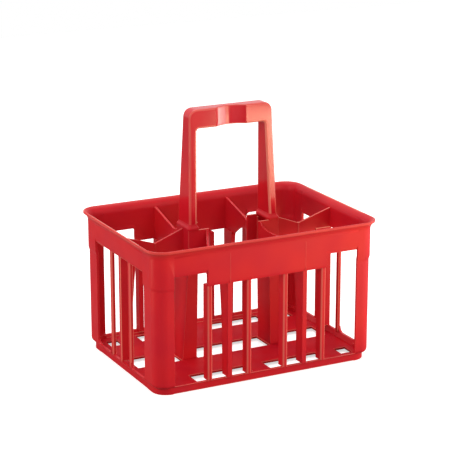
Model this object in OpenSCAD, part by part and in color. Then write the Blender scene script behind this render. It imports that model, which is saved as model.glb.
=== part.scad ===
// Six pack carrier: a moulded basket with two rows of three cells and a
// clip-in bow handle. Millimetres, +Z up. The origin is the middle of the
// underside, X runs along the basket and Y across it, front to back.

/* [Rim] */
// Length of the basket over the rim
rim_l = 300; // [290:1:320]
// Width of the basket over the rim
rim_w = 218; // [210:1:236]
// Height of the basket up to the top of the rim
crate_h = 175; // [170:1:190]
// Corner radius of the rim seen from above
rim_r = 22; // [20:1:26]
// How far the rim stands out past the wall below it
lip_out = 5.5; // [4:0.5:7]

/* [Walls] */
// Thickness of the moulded walls
wall_t = 3; // [2:0.25:3.5]
// How far the upper band stands out past the posts and bars
band_step = 1.2; // [0.5:0.1:1.5]
// Height of the sill below the windows of the long walls
sill_z = 10; // [9:0.5:12]
// Height of the sill below the windows of the end walls
end_sill_z = 12; // [10:0.5:14]
// Lower edge of the band over the outer windows
band_high_z = 142; // [138:1:146]
// Lower edge of the band over the middle windows
band_low_z = 125.5; // [120:0.5:130]
// Distance of the corner windows from the middle of the long walls
long_post_x = 120.5; // [116:0.5:124]
// Distance of the corner windows from the middle of the end walls
end_post_y = 69; // [64:1:76]

/* [Bars] */
// Width of a plain bar
bar_w = 6; // [5:0.5:7]
// Depth of a plain bar of the long walls
bar_d = 12; // [8:1:14]
// Depth of a plain bar of the end walls
end_bar_d = 4.5; // [3.5:0.5:8]
// Spacing of the bars of the long walls
bar_pitch = 25.5; // [23:0.5:27]
// Spacing of the bars of the end walls
end_bar_pitch = 26; // [23:0.5:28]
// Width of the deep middle fin of each group of bars
fin_w = 5.5; // [4.5:0.5:6]
// Depth of the fin at the sill
fin_low_d = 15; // [12:0.5:18]
// Depth of the fin at the band
fin_high_d = 22; // [18:0.5:26]

/* [Dividers] */
// Thickness of the dividers
div_t = 2.5; // [2:0.25:3]
// Height of the dividers where they meet the walls and the sockets
div_top_z = 166; // [162:1:170]
// Height of the bottom of each notch in the dividers
notch_z = 152; // [148:1:158]
// Distance of the cross dividers from the middle of the basket
cross_x = 49.5; // [47:0.5:51]
// Distance of the notch from the middle in the end dividers
end_notch_x = 97; // [92:1:102]
// Distance of the notch from the middle in the cross dividers
cross_notch_y = 47; // [44:1:50]
// Highest point of the arch under each divider
arch_z = 139; // [134:1:142]

/* [Floor] */
// Height of the foot ring that the basket stands on
foot_h = 8; // [6:0.5:10]
// How far the foot ring is set back from the band
foot_in = 4.5; // [3:0.5:6]
// Corner radius of the foot ring
foot_r = 18; // [16:1:18]
// Height of the upper face of the floor
floor_z = 6; // [5:0.5:7]
// Thickness of the floor
floor_t = 3; // [2.5:0.25:4]
// Half width of the row of slots along the middle of the floor
mid_slot_y = 17; // [15:1:19]
// Near edge of the outer row of floor slots
out_slot_y0 = 66; // [62:1:68]
// Far edge of the outer row of floor slots
out_slot_y1 = 88; // [84:1:90]

/* [Handle] */
// Height of the top of the handle
handle_h = 309.5; // [300:0.5:320]
// Height of the grip bar
grip_h = 23; // [20:0.5:26]
// Distance of the outer face of each leg from the middle, at the top
leg_out_x = 54.5; // [52:0.5:57]
// Width of each leg seen from the front
leg_w = 10; // [9:0.5:12]
// Sideways lean of the legs, per millimetre of height
leg_lean = 0.031; // [0.02:0.001:0.035]
// Depth of the handle at the top, front to back
grip_d = 16.5; // [15:0.5:19]
// Depth of each leg where it stands on the basket
leg_foot_d = 31.5; // [28:0.5:32]
// Outer corner radius of the bow
bow_r = 10; // [8:1:13]
// Inner corner radius of the hand gap
gap_r = 3.5; // [2:0.5:5]
// Half width of the hollow in the front of the grip
dish_x = 20; // [16:1:24]
// Depth of the hollow in the front of the grip
dish_d = 7; // [5:0.5:8]
// Thickness of the moulded webs of the handle
web_t = 2.8; // [2.5:0.1:3]

/* [Hidden] */

$fn = 48;
// Small overrun that keeps cuts clean
eps = 0.5;
red = "#c8182a";

// Outer faces of the band, and of the posts and bars below it
band_x = rim_l / 2 - lip_out;
band_y = rim_w / 2 - lip_out;
band_r = rim_r - lip_out;
// Centre of the corner radii of rim, band and posts
corner_x = rim_l / 2 - rim_r;
corner_y = rim_w / 2 - rim_r;
// Outer and inner faces of the foot ring
foot_x = band_x - foot_in;
foot_y = band_y - foot_in;
floor_x = foot_x - wall_t;
floor_y = foot_y - wall_t;
floor_r = foot_r - wall_t;
// Rounded lower edge of the walls
heel_r = 5;
// The face of posts and bars, measured out from the face of the band
face_u = -band_step;
inner_u = face_u - wall_t;

// Rim: the whole wall sweeps out in a cove and ends in a thin lip
cove_z = crate_h - 11.5;
cove_r = 10;
cove_end = 180 - acos(1 - lip_out / cove_r);
lip_round = 0.9;

// Socket that takes the tongue under each leg
plate_y = 16.2;
plate_in_y = plate_y - div_t;
socket_in_x = 34.6;
socket_out_x = 60.5;
socket_low_z = 126;
tongue_x0 = 49.4;
tongue_x1 = socket_out_x - div_t - 0.4;
tongue_gap = 0.4;
tongue_low_z = socket_low_z + 2;
guide_x = 46.6;
catch_z = 132;
catch_h = 8;
catch_y = 5;

// Pillar that carries each socket down to the floor
pillar_top_x = 48;
pillar_foot_x = 50.5;
pillar_foot_w = 18.5;

// Lean of the legs, written as places at a height
function leg_outer(z) = leg_out_x + (handle_h - z) * leg_lean;
function leg_inner(z) = leg_outer(z) - leg_w;
shoulder_z = div_top_z;
collar_z = shoulder_z + 6;
collar_out = 2.5;
grip_z = handle_h - grip_h;
function leg_half_d(z) = grip_d / 2 + (handle_h - z) * (leg_foot_d - grip_d) / 2 / (handle_h - collar_z);

// Points along an arc, from angle a to angle b
function arc(x, y, r, a, b, n = 6) =
    [for (i = [0 : n]) let (t = a + (b - a) * i / n) [x + r * cos(t), y + r * sin(t)]];

// Section of the rim, out from the band face and up, between the outer
// face and the inner face of the wall
function rim_outer() = concat(
    arc(cove_r, cove_z, cove_r, 180, cove_end, 8),
    arc(lip_out - lip_round, crate_h - lip_round, lip_round, 0, 90, 4)
);
function rim_inner() = arc(
    cove_r, cove_z, cove_r + wall_t, 180 - asin((crate_h - cove_z) / (cove_r + wall_t)), 180, 8
);

// Section of a band that starts at height z
function band_section(z) = concat(
    [[inner_u, z], [face_u, z], [face_u, z + 0.5], [0, z + 4.5]],
    rim_outer(),
    rim_inner(),
    [[-wall_t, z + 6], [inner_u, z + 2]]
);

// Section of a corner post, from the heel to the rim
function post_section() = concat(
    [[face_u - heel_r - 1.3, foot_h]],
    arc(face_u - heel_r, foot_h + heel_r, heel_r, -90, 0),
    [[face_u, band_low_z + 0.5], [0, band_low_z + 4.5]],
    rim_outer(),
    rim_inner(),
    [[-wall_t, band_low_z + 8], [inner_u, band_low_z + 3], [inner_u, foot_h + 3],
     [face_u - heel_r - 1.3, foot_h + 2]]
);

// Section of a base rail: foot below, rounded heel above, up to a sill
function rail_section(sill) = let (
    heel_u = face_u - heel_r,
    rise = foot_h + heel_r - sill,
    top_u = heel_u + sqrt(heel_r * heel_r - rise * rise)
) concat(
    [[-foot_in - wall_t, 0], [-foot_in - 0.6, 0], [-foot_in, 0.6],
     [-foot_in, foot_h + 0.3]],
    arc(heel_u, foot_h + heel_r, heel_r, -70, -asin(rise / heel_r)),
    [[top_u, sill], [inner_u, sill], [-foot_in - wall_t, floor_z + 0.6]]
);

// Lays a section along X on the back wall: its first axis points out (+Y)
module run_x(x0, x1) {
    translate([x0, band_y, 0])
        rotate([90, 0, 90])
            linear_extrude(x1 - x0)
                children();
}

// Lays a section along Y on the right wall: its first axis points out (+X)
module run_y(y0, y1) {
    translate([band_x, y1, 0])
        rotate([90, 0, 0])
            linear_extrude(y1 - y0)
                children();
}

module rounded_box(x, y, r) {
    square([2 * x - 2 * r, 2 * y], center = true);
    square([2 * x, 2 * y - 2 * r], center = true);
    for (sx = [-1, 1], sy = [-1, 1])
        translate([sx * (x - r), sy * (y - r)])
            circle(r);
}

// Filling of a square corner, rounded to radius r
module corner_fill(r) {
    difference() {
        square(r);
        translate([r, r])
            circle(r);
    }
}

// Base rails
module rail_long() {
    color(red) run_x(-long_post_x, long_post_x)
        polygon(rail_section(sill_z));
}

module rail_end() {
    window_r = 7;
    color(red) {
        run_y(-end_post_y, end_post_y)
            polygon(rail_section(end_sill_z));
        // Rounded lower corners of the end windows
        for (s = [-1, 1]) {
            translate([band_x + inner_u, s * end_post_y, end_sill_z])
                rotate([90, 0, 90])
                    linear_extrude(wall_t)
                        mirror([s > 0 ? 1 : 0, 0])
                            corner_fill(window_r);
            translate([band_x + inner_u, s * (end_bar_pitch + bar_w / 2), end_sill_z])
                rotate([90, 0, 90])
                    linear_extrude(wall_t)
                        mirror([s > 0 ? 0 : 1, 0])
                            corner_fill(window_r);
        }
    }
}

// Corner post of the back right corner, with its part of foot and rim
module corner_post() {
    color(red) {
        translate([corner_x, corner_y, 0])
            rotate_extrude(angle = 90, $fn = 72)
                translate([band_r, 0])
                    polygon(post_section());
        run_x(long_post_x, corner_x)
            polygon(post_section());
        run_y(end_post_y, corner_y)
            polygon(post_section());
        // Foot, and the shelf that joins it to the heel of the wall
        intersection() {
            union() {
                linear_extrude(foot_h)
                    difference() {
                        rounded_box(foot_x, foot_y, foot_r);
                        rounded_box(floor_x, floor_y, floor_r);
                    }
                translate([0, 0, foot_h])
                    linear_extrude(2)
                        difference() {
                            rounded_box(foot_x, foot_y, band_r - foot_in);
                            rounded_box(floor_x, floor_y, floor_r);
                        }
            }
            union() {
                translate([long_post_x, corner_y, 0])
                    cube([rim_l, rim_w, 2 * foot_h]);
                translate([corner_x, end_post_y, 0])
                    cube([rim_l, rim_w, 2 * foot_h]);
            }
        }
    }
}

// Upper band of the back wall: deeper over the middle windows
module band_long() {
    step_x = cross_x + bar_pitch + bar_w / 2;
    fill_r = 4;
    color(red) {
        run_x(-step_x, step_x)
            polygon(band_section(band_low_z));
        for (s = [0, 1])
            mirror([s, 0, 0]) {
                run_x(step_x, long_post_x)
                    polygon(band_section(band_high_z));
                translate([step_x, band_y + face_u, band_high_z])
                    rotate([90, 0, 0])
                        linear_extrude(wall_t)
                            mirror([0, 1])
                                corner_fill(fill_r);
            }
    }
}

// Upper band of the right wall
module band_end() {
    color(red) run_y(-end_post_y, end_post_y)
        polygon(band_section(band_high_z));
}

// A plain bar with a rounded face, seen from above, out along +Y
module bar_outline(w, d) {
    r = w * 0.36;
    translate([-w / 2, -d])
        square([w, d - r]);
    translate([-w / 2 + r, -d])
        square([w - 2 * r, d]);
    for (s = [-1, 1])
        translate([s * (w / 2 - r), -r])
            circle(r);
}

// Side outline of the deep fin: out and up, deeper towards the band
function fin_outline(z0, z1) = [
    [face_u - fin_low_d, z0],
    [face_u, z0],
    [face_u, z1],
    [face_u - fin_high_d, z1],
    [face_u - (fin_low_d + fin_high_d) / 2, z1 - 30],
    [face_u - fin_low_d - 1, z1 - 60]
];

// Three bars of the back wall, either side of one cross divider
module bars_long() {
    color(red) translate([cross_x, 0, 0]) {
        for (s = [-1, 1])
            translate([s * bar_pitch, band_y + face_u, sill_z])
                linear_extrude(band_low_z - sill_z)
                    bar_outline(bar_w, bar_d);
        run_x(-fin_w / 2, fin_w / 2)
            polygon(fin_outline(sill_z, band_low_z));
    }
}

// Three bars of the right wall
module bars_end() {
    color(red) {
        for (s = [-1, 1])
            translate([band_x + face_u, s * end_bar_pitch, end_sill_z])
                rotate([0, 0, -90])
                    linear_extrude(band_high_z - end_sill_z)
                        bar_outline(bar_w, end_bar_d);
        run_y(-fin_w / 2, fin_w / 2)
            polygon(fin_outline(end_sill_z, band_high_z));
    }
}

// Floor panel under the back row of cells
module floor_panel() {
    slot_x0 = 12;
    slot_x1 = 85;
    corner_slot_x = 112;
    corner_slot_w = 15;
    slot_d = out_slot_y1 - out_slot_y0;
    color(red) translate([0, 0, floor_z - floor_t])
        linear_extrude(floor_t)
            difference() {
                intersection() {
                    rounded_box(floor_x, floor_y, floor_r);
                    translate([-rim_l / 2, mid_slot_y])
                        square([rim_l, rim_w]);
                }
                for (s = [0, 1])
                    mirror([s, 0]) {
                        translate([slot_x0, out_slot_y0])
                            square([slot_x1 - slot_x0, slot_d]);
                        translate([corner_slot_x, out_slot_y0])
                            square([corner_slot_w, slot_d - 4]);
                    }
            }
}

// Cross ties of the floor between the slots of the middle row
module floor_tie(x0, x1) {
    color(red) translate([x0, -mid_slot_y, floor_z - floor_t])
        cube([x1 - x0, 2 * mid_slot_y, floor_t]);
}

// Lower edge of a divider: an arch between two springing points
function arch(x0, x1, spring_z, n = 16) = let (mid = (x0 + x1) / 2, half = (x1 - x0) / 2)
    [for (i = [0 : n]) let (t = 180 - 180 * i / n)
        [mid + half * cos(t), spring_z + (arch_z - spring_z) * sin(t)]];

// Edge of a divider along the inner face of a band that starts at height z
function wall_edge(face, z) = [
    [face + inner_u, z],
    [face + inner_u, z + 2],
    [face - wall_t, z + 6],
    [face - wall_t, div_top_z]
];

// Divider between the right socket and the right end wall
module end_divider() {
    fin_x = band_x + face_u - fin_high_d;
    spring_z = socket_low_z + 4;
    rib_h = 14;
    rib_w = 1.6;
    color(red) {
        translate([0, div_t / 2, 0])
            rotate([90, 0, 0])
                linear_extrude(div_t)
                    difference() {
                        polygon(concat(
                            arch(socket_out_x, fin_x, spring_z),
                            [[fin_x, band_high_z]],
                            wall_edge(band_x, band_high_z),
                            [[end_notch_x, notch_z], [socket_out_x, div_top_z]]
                        ));
                        translate([band_x, 0])
                            polygon(fin_outline(end_sill_z, band_high_z));
                    }
        // Rib under the notch
        translate([end_notch_x - rib_w / 2, -div_t / 2 - 0.6, notch_z - rib_h + 0.4])
            cube([rib_w, div_t + 1.2, rib_h]);
    }
}

// Divider between the right socket and the back wall. It runs straight in
// from the wall to the notch and then turns in to the edge of the socket
module cross_divider() {
    fin_y = band_y + face_u - fin_high_d;
    spring_z = socket_low_z - 4;
    span = fin_y - cross_notch_y;
    rise = arch_z - spring_z;
    halves = 8;
    turn = [cross_x - socket_in_x - div_t / 2, cross_notch_y - plate_y];
    turn_l = norm(turn);
    steps = 10;
    sweep = [for (i = [0 : steps]) let (t = i / steps)
        [turn_l * t, notch_z + (div_top_z - notch_z) * (1 - sqrt(max(0, 1 - pow(t, 2))))]];
    // Lower edge: one arch that springs from the fin and from the socket
    near_arch = [for (i = [0 : halves]) let (t = i / halves)
        [cross_notch_y + span * t, spring_z + rise * cos(90 * t)]];
    far_arch = [for (i = [halves : -1 : 0]) let (t = i / halves)
        [turn_l * t, spring_z + rise * cos(90 * t)]];
    color(red) {
        translate([cross_x - div_t / 2, 0, 0])
            rotate([90, 0, 90])
                linear_extrude(div_t)
                    difference() {
                        polygon(concat(
                            [[cross_notch_y, notch_z]],
                            near_arch,
                            [[fin_y, band_low_z]],
                            wall_edge(band_y, band_low_z)
                        ));
                        translate([band_y, 0])
                            polygon(fin_outline(sill_z, band_low_z));
                    }
        difference() {
            translate([cross_x, cross_notch_y, 0])
                rotate([90, 0, atan2(-turn[1], -turn[0])])
                    translate([0, 0, -div_t / 2])
                        linear_extrude(div_t)
                            polygon(concat(
                                sweep,
                                [[turn_l + div_t, div_top_z], [turn_l + div_t, spring_z]],
                                far_arch
                            ));
            translate([0, 0, spring_z - eps])
                cube([cross_x, plate_y, div_top_z]);
        }
        translate([cross_x, cross_notch_y, arch_z])
            cylinder(h = notch_z - arch_z, d = div_t);
    }
}

// Right socket: two plates, an outer plate with a catch window, and
// guides that keep the tongue from moving inwards
module handle_socket() {
    plate_h = div_top_z - socket_low_z;
    color(red) {
        for (s = [0, 1])
            mirror([0, s, 0]) {
                translate([socket_in_x, plate_in_y, socket_low_z])
                    cube([socket_out_x - socket_in_x, div_t, plate_h]);
                translate([socket_in_x, plate_y - div_t / 2, socket_low_z])
                    cylinder(h = plate_h, d = div_t);
                translate([guide_x, plate_in_y - 1.6, socket_low_z])
                    cube([2.2, 2, plate_h - 3]);
            }
        difference() {
            translate([socket_out_x - div_t, -plate_y, socket_low_z])
                cube([div_t, 2 * plate_y, plate_h]);
            translate([socket_out_x - div_t - eps, -catch_y, catch_z])
                cube([div_t + 2 * eps, 2 * catch_y, catch_h]);
        }
    }
}

// Right pillar: a leaning box section open at both ends
module socket_pillar() {
    outline = [
        [pillar_foot_x, floor_z],
        [pillar_foot_x + pillar_foot_w, floor_z],
        [socket_out_x, socket_low_z],
        [pillar_top_x, socket_low_z]
    ];
    bore = [
        [pillar_foot_x + div_t, floor_z - eps],
        [pillar_foot_x + pillar_foot_w - div_t, floor_z - eps],
        [socket_out_x - div_t, socket_low_z + eps],
        [pillar_top_x + div_t, socket_low_z + eps]
    ];
    color(red) difference() {
        translate([0, plate_y, 0])
            rotate([90, 0, 0])
                linear_extrude(2 * plate_y)
                    polygon(outline);
        translate([0, plate_in_y, 0])
            rotate([90, 0, 0])
                linear_extrude(2 * plate_in_y)
                    polygon(bore);
    }
}

// Front outline of the whole bow, from collars to grip
module bow_outline() {
    difference() {
        union() {
            polygon([
                [-leg_outer(collar_z), collar_z],
                [leg_outer(collar_z), collar_z],
                [leg_outer(handle_h - bow_r), handle_h - bow_r],
                [-leg_outer(handle_h - bow_r), handle_h - bow_r]
            ]);
            square_x = leg_outer(handle_h) - bow_r;
            translate([-square_x, handle_h - bow_r])
                square([2 * square_x, bow_r]);
            for (s = [-1, 1])
                translate([s * square_x, handle_h - bow_r])
                    circle(bow_r);
        }
        // Hand gap with rounded upper corners
        polygon([
            [-leg_inner(collar_z - eps), collar_z - eps],
            [leg_inner(collar_z - eps), collar_z - eps],
            [leg_inner(grip_z - gap_r), grip_z - gap_r],
            [leg_inner(grip_z) - gap_r, grip_z],
            [gap_r - leg_inner(grip_z), grip_z],
            [-leg_inner(grip_z - gap_r), grip_z - gap_r]
        ]);
        for (s = [-1, 1])
            translate([s * (leg_inner(grip_z - gap_r) - gap_r), grip_z - gap_r])
                circle(gap_r);
    }
}

// Side outline of the bow, deeper towards the foot
module bow_side() {
    polygon([
        [-leg_half_d(collar_z), collar_z],
        [leg_half_d(collar_z), collar_z],
        [leg_half_d(handle_h), handle_h],
        [-leg_half_d(handle_h), handle_h]
    ]);
}

module bow_body() {
    intersection() {
        translate([0, leg_foot_d, 0])
            rotate([90, 0, 0])
                linear_extrude(2 * leg_foot_d)
                    bow_outline();
        translate([-leg_out_x * 2, 0, 0])
            rotate([90, 0, 90])
                linear_extrude(leg_out_x * 4)
                    bow_side();
    }
}

// Hollow in the front of the grip, with crisp edges at both ends
dish_r = (dish_x * dish_x + dish_d * dish_d) / (2 * dish_d);
module grip_dish(r, overrun = 0) {
    front_y = -leg_half_d(grip_z);
    translate([0, front_y + dish_d - dish_r, grip_z - 20])
        intersection() {
            cylinder(h = grip_h + 40, r = r, $fn = 96);
            translate([-dish_x - overrun, -dish_r, 0])
                cube([2 * dish_x + 2 * overrun, 3 * dish_r, grip_h + 40]);
        }
}

// Grip bar: open at the back, with ribs across
module handle_grip() {
    rib_gap = 15;
    pocket_x = leg_inner(grip_z) - 2;
    pocket_y = -grip_d / 2 + web_t;
    color(red) difference() {
        intersection() {
            bow_body();
            translate([-leg_out_x * 2, -leg_foot_d, grip_z])
                cube([leg_out_x * 4, 2 * leg_foot_d, 2 * grip_h]);
        }
        grip_dish(dish_r);
        difference() {
            translate([-pocket_x, pocket_y, grip_z + web_t])
                cube([2 * pocket_x, leg_foot_d, grip_h - 2 * web_t]);
            grip_dish(dish_r + web_t, web_t);
            for (i = [-2 : 2])
                translate([i * rib_gap - web_t / 3, -leg_foot_d, grip_z])
                    cube([web_t / 1.5, 2 * leg_foot_d, grip_h]);
        }
    }
}

// Right leg: channel open at the back, collar, and the tongue below it
module handle_leg() {
    rib_count = 5;
    rib_step = (grip_z - collar_z) / rib_count;
    half_d = leg_half_d(collar_z);
    x0 = leg_inner(collar_z);
    x1 = leg_outer(collar_z);
    collar_y = half_d + 1.6;
    color(red) {
        difference() {
            intersection() {
                bow_body();
                translate([0, -leg_foot_d, 0])
                    cube([leg_out_x * 2, 2 * leg_foot_d, grip_z]);
            }
            // Pocket from the back, cut by ribs
            difference() {
                intersection() {
                    translate([0, leg_foot_d, 0])
                        rotate([90, 0, 0])
                            linear_extrude(2 * leg_foot_d)
                                polygon([
                                    [leg_inner(collar_z) + web_t, collar_z + web_t],
                                    [leg_outer(collar_z) - web_t, collar_z + web_t],
                                    [leg_outer(grip_z) - web_t, grip_z - web_t],
                                    [leg_inner(grip_z) + web_t, grip_z - web_t]
                                ]);
                    translate([0, 0, 0])
                        rotate([90, 0, 90])
                            linear_extrude(leg_out_x * 2)
                                polygon([
                                    [-leg_half_d(collar_z) + 2 * web_t, collar_z],
                                    [leg_foot_d, collar_z],
                                    [leg_foot_d, handle_h],
                                    [-leg_half_d(handle_h) + 2 * web_t, handle_h]
                                ]);
                }
                for (i = [1 : rib_count - 1])
                    translate([0, -leg_foot_d, collar_z + i * rib_step])
                        cube([leg_out_x * 2, 2 * leg_foot_d, web_t / 1.5]);
            }
        }
        // Collar: swells to a flange that stands on the socket
        intersection() {
            translate([0, collar_y, 0])
                rotate([90, 0, 0])
                    linear_extrude(2 * collar_y)
                        polygon(concat(
                            [[x0 - collar_out, shoulder_z], [x1 + collar_out, shoulder_z]],
                            arc(x1 + collar_out, collar_z + 0.5, collar_out, 270, 180, 4),
                            arc(x0 - collar_out, collar_z + 0.5, collar_out, 0, -90, 4)
                        ));
            translate([x0 - 2 * collar_out, 0, 0])
                rotate([90, 0, 90])
                    linear_extrude(leg_w + 4 * collar_out)
                        polygon(concat(
                            [[-collar_y, shoulder_z], [collar_y, shoulder_z]],
                            arc(collar_y, collar_z + 0.5, 1.6, 270, 180, 4),
                            arc(-collar_y, collar_z + 0.5, 1.6, 0, -90, 4)
                        ));
        }
        // Tongue with its catch
        translate([tongue_x0, -plate_in_y + tongue_gap, tongue_low_z])
            cube([tongue_x1 - tongue_x0, 2 * (plate_in_y - tongue_gap), shoulder_z - tongue_low_z]);
        translate([0, catch_y - tongue_gap, 0])
            rotate([90, 0, 0])
                linear_extrude(2 * (catch_y - tongue_gap))
                    polygon([
                        [tongue_x1 - eps, catch_z + tongue_gap],
                        [tongue_x1, catch_z + tongue_gap],
                        [tongue_x1 + 2, catch_z + catch_h - 2],
                        [tongue_x1 + 2, catch_z + catch_h],
                        [tongue_x1 - eps, catch_z + catch_h]
                    ]);
    }
}

module to_front() { mirror([0, 1, 0]) children(); }
module to_left() { mirror([1, 0, 0]) children(); }

to_front() rail_long();  // base_rail_front
rail_long();  // base_rail_back
to_left() rail_end();  // base_rail_left
rail_end();  // base_rail_right
to_front() floor_panel();  // floor_front
floor_panel();  // floor_back
to_left() floor_tie(128, floor_x);  // floor_end_tie_left
floor_tie(128, floor_x);  // floor_end_tie_right
to_left() floor_tie(49, 71);  // floor_pillar_tie_left
floor_tie(49, 71);  // floor_pillar_tie_right
to_front() to_left() corner_post();  // corner_post_front_left
to_front() corner_post();  // corner_post_front_right
to_left() corner_post();  // corner_post_back_left
corner_post();  // corner_post_back_right
to_front() band_long();  // wall_band_front
band_long();  // wall_band_back
to_left() band_end();  // wall_band_left
band_end();  // wall_band_right
to_front() to_left() bars_long();  // bars_front_left
to_front() bars_long();  // bars_front_right
to_left() bars_long();  // bars_back_left
bars_long();  // bars_back_right
to_left() bars_end();  // bars_end_left
bars_end();  // bars_end_right
to_left() end_divider();  // end_divider_left
end_divider();  // end_divider_right
to_front() to_left() cross_divider();  // cross_divider_front_left
to_front() cross_divider();  // cross_divider_front_right
to_left() cross_divider();  // cross_divider_back_left
cross_divider();  // cross_divider_back_right
to_left() handle_socket();  // handle_socket_left
handle_socket();  // handle_socket_right
to_left() socket_pillar();  // socket_pillar_left
socket_pillar();  // socket_pillar_right
handle_grip();
to_left() handle_leg();  // handle_leg_left
handle_leg();  // handle_leg_right
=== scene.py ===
"""Looks of a moulded six pack carrier: an open-sided basket and its clip-in handle.

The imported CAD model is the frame, and its nodes keep their places. The nodes of
the basket are redrawn one by one with the small edge radii that a mould leaves.
The handle is redrawn as one swept bow with a collar at each foot. Every piece
gets a procedural polypropylene finish. All lengths are in metres.
"""

import logging  # noqa: E402
import math  # noqa: E402
from dataclasses import dataclass  # noqa: E402
from enum import Enum  # noqa: E402

import bmesh  # noqa: E402
import bpy  # noqa: E402
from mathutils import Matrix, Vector  # noqa: E402
from mathutils.bvhtree import BVHTree  # noqa: E402

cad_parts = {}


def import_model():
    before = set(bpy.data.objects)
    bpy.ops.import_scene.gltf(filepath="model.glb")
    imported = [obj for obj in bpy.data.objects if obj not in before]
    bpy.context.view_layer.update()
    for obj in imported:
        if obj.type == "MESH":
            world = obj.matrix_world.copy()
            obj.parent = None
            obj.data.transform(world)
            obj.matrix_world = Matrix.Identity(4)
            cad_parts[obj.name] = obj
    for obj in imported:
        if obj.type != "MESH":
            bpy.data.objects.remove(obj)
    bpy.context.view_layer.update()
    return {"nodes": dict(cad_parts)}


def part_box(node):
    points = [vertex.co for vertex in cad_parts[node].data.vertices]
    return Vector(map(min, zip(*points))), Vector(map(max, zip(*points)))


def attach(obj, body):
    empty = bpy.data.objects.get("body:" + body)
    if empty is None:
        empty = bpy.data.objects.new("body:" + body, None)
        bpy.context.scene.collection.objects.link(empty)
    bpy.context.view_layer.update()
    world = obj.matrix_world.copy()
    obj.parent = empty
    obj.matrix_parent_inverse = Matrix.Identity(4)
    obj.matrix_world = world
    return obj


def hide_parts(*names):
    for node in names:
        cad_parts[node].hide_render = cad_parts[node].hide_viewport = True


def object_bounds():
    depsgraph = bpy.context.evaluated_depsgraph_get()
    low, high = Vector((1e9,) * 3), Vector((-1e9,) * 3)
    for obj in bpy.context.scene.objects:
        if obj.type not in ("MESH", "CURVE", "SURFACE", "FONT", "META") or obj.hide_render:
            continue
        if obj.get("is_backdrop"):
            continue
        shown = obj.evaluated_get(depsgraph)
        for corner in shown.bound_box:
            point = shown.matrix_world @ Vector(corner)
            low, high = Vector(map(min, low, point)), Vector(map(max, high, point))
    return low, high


LOG = logging.getLogger("carrier")
MM = 0.001
# Face attribute: how far a face takes the paler edge tone, a painted highlight, 0 to 1
EDGE_LAYER = "edge_light"
# Colour inputs and colour output of Blender's Mix node
MIX_FIRST, MIX_SECOND, MIX_RESULT = 6, 7, 2
WHITE = (1.0, 1.0, 1.0, 1.0)


class Slot(Enum):
    """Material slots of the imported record."""

    BASKET = "basket_plastic"
    HANDLE = "handle_plastic"


class Axis(Enum):
    """Axes of the frame, by index."""

    X = 0
    Y = 1
    Z = 2


class Side(Enum):
    """Left or right of the basket, as the sign of X."""

    LEFT = -1
    RIGHT = 1


class End(Enum):
    """Front or back of the basket, as the sign of Y."""

    FRONT = -1
    BACK = 1


class LampShape(Enum):
    """Outlines of a lamp, by Blender's names."""

    ROUND = "ELLIPSE"
    CARD = "RECTANGLE"


@dataclass(frozen=True)
class Finish:
    """A moulded plastic finish.

    Attributes:
        name: Material name.
        colour: Base colour as sRGB hex.
        shade: Deeper tone that the colour drifts towards, as sRGB hex.
        roughness: Mean roughness.
        ripple_mm: Wavelength of the slow waviness of the moulded walls.
        grain_depth_mm: Depth of the fine grain of the mould's surface.
        scuff: How strongly handling has dulled the surface in places, 0 to 1.
        scuff_mm: Size of the dulled places.
        edge_share: How much of the painted edge highlight an edge takes, 0 to 1.
        specular: Strength of the reflection, 0.5 for bare polypropylene.
        edge: Paler tone painted on edges as a highlight, as sRGB hex.
        grain_mm: Size of the grain. On such a mould it is about 0.1 mm, too fine
            to show, so it is drawn as coarse as it needs to be to show.
    """

    name: str
    colour: str
    shade: str
    roughness: float
    ripple_mm: float
    grain_depth_mm: float
    scuff: float
    scuff_mm: float
    edge_share: float
    specular: float
    edge: str = "#F7A08A"
    grain_mm: float = 1.1


# Injection-moulded polypropylene from a smooth mould: a saturated red with soft
# highlights that break up over shallow waves in the wall
BASKET_FINISH = Finish(
    name="moulded_polypropylene_basket",
    colour="#CE1D26",
    shade="#C61828",
    roughness=0.38,
    ripple_mm=42.0,
    grain_depth_mm=0.004,
    scuff=0.3,
    scuff_mm=38.0,
    edge_share=1.0,
    specular=0.2,
)
# The basket's floor, rubbed matt by what has stood on it, with hardly any shine; its deeper red
# is painted shade
FLOOR_FINISH = Finish(
    name="scuffed_polypropylene_floor",
    # Painted shade: a deeper red than the walls, where the floor lies in shade
    colour="#C2141F",
    shade="#B81022",
    roughness=0.5,
    ripple_mm=42.0,
    grain_depth_mm=0.006,
    scuff=0.35,
    scuff_mm=30.0,
    edge_share=1.0,
    specular=0.06,
)
# The handle, from a polished mould: crisp bright patches next to deep red ones
HANDLE_FINISH = Finish(
    name="moulded_polypropylene_handle",
    colour="#CE1D26",
    shade="#C61828",
    roughness=0.13,
    ripple_mm=60.0,
    grain_depth_mm=0.002,
    scuff=0.25,
    scuff_mm=45.0,
    edge_share=0.55,
    specular=0.36,
)


@dataclass(frozen=True)
class Rounding:
    """How the edges of a piece are rounded, and how much painted highlight they take.

    Attributes:
        light: How far upper edges take the painted edge highlight, 0 to 1.
        upright: How far the other edges take it.
        corners: How far the round upright corners drawn in the CAD take it, also a painted
            highlight.
        radius: Edge radius.
        segments: Facets across each rounded edge.
        min_angle: Smallest angle between faces that counts as an edge.
    """

    light: float = 1.0
    upright: float = 0.5
    corners: float = 0.0
    radius: float = 0.8 * MM
    segments: int = 3
    min_angle: float = math.radians(24.0)


# By the start of a node's name. The painted edge highlight is weak on edges low in
# the basket and on the upright edges of the sockets, and the bars take it along their corners
ROUNDINGS = {
    "floor": Rounding(light=0.28, upright=0.2),
    "base": Rounding(light=0.5, upright=0.3),
    "handle_socket": Rounding(upright=0.18),
    "socket_pillar": Rounding(light=0.3, upright=0.15),
    "bars": Rounding(light=0.8, upright=0.6, corners=0.36),
}


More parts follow.
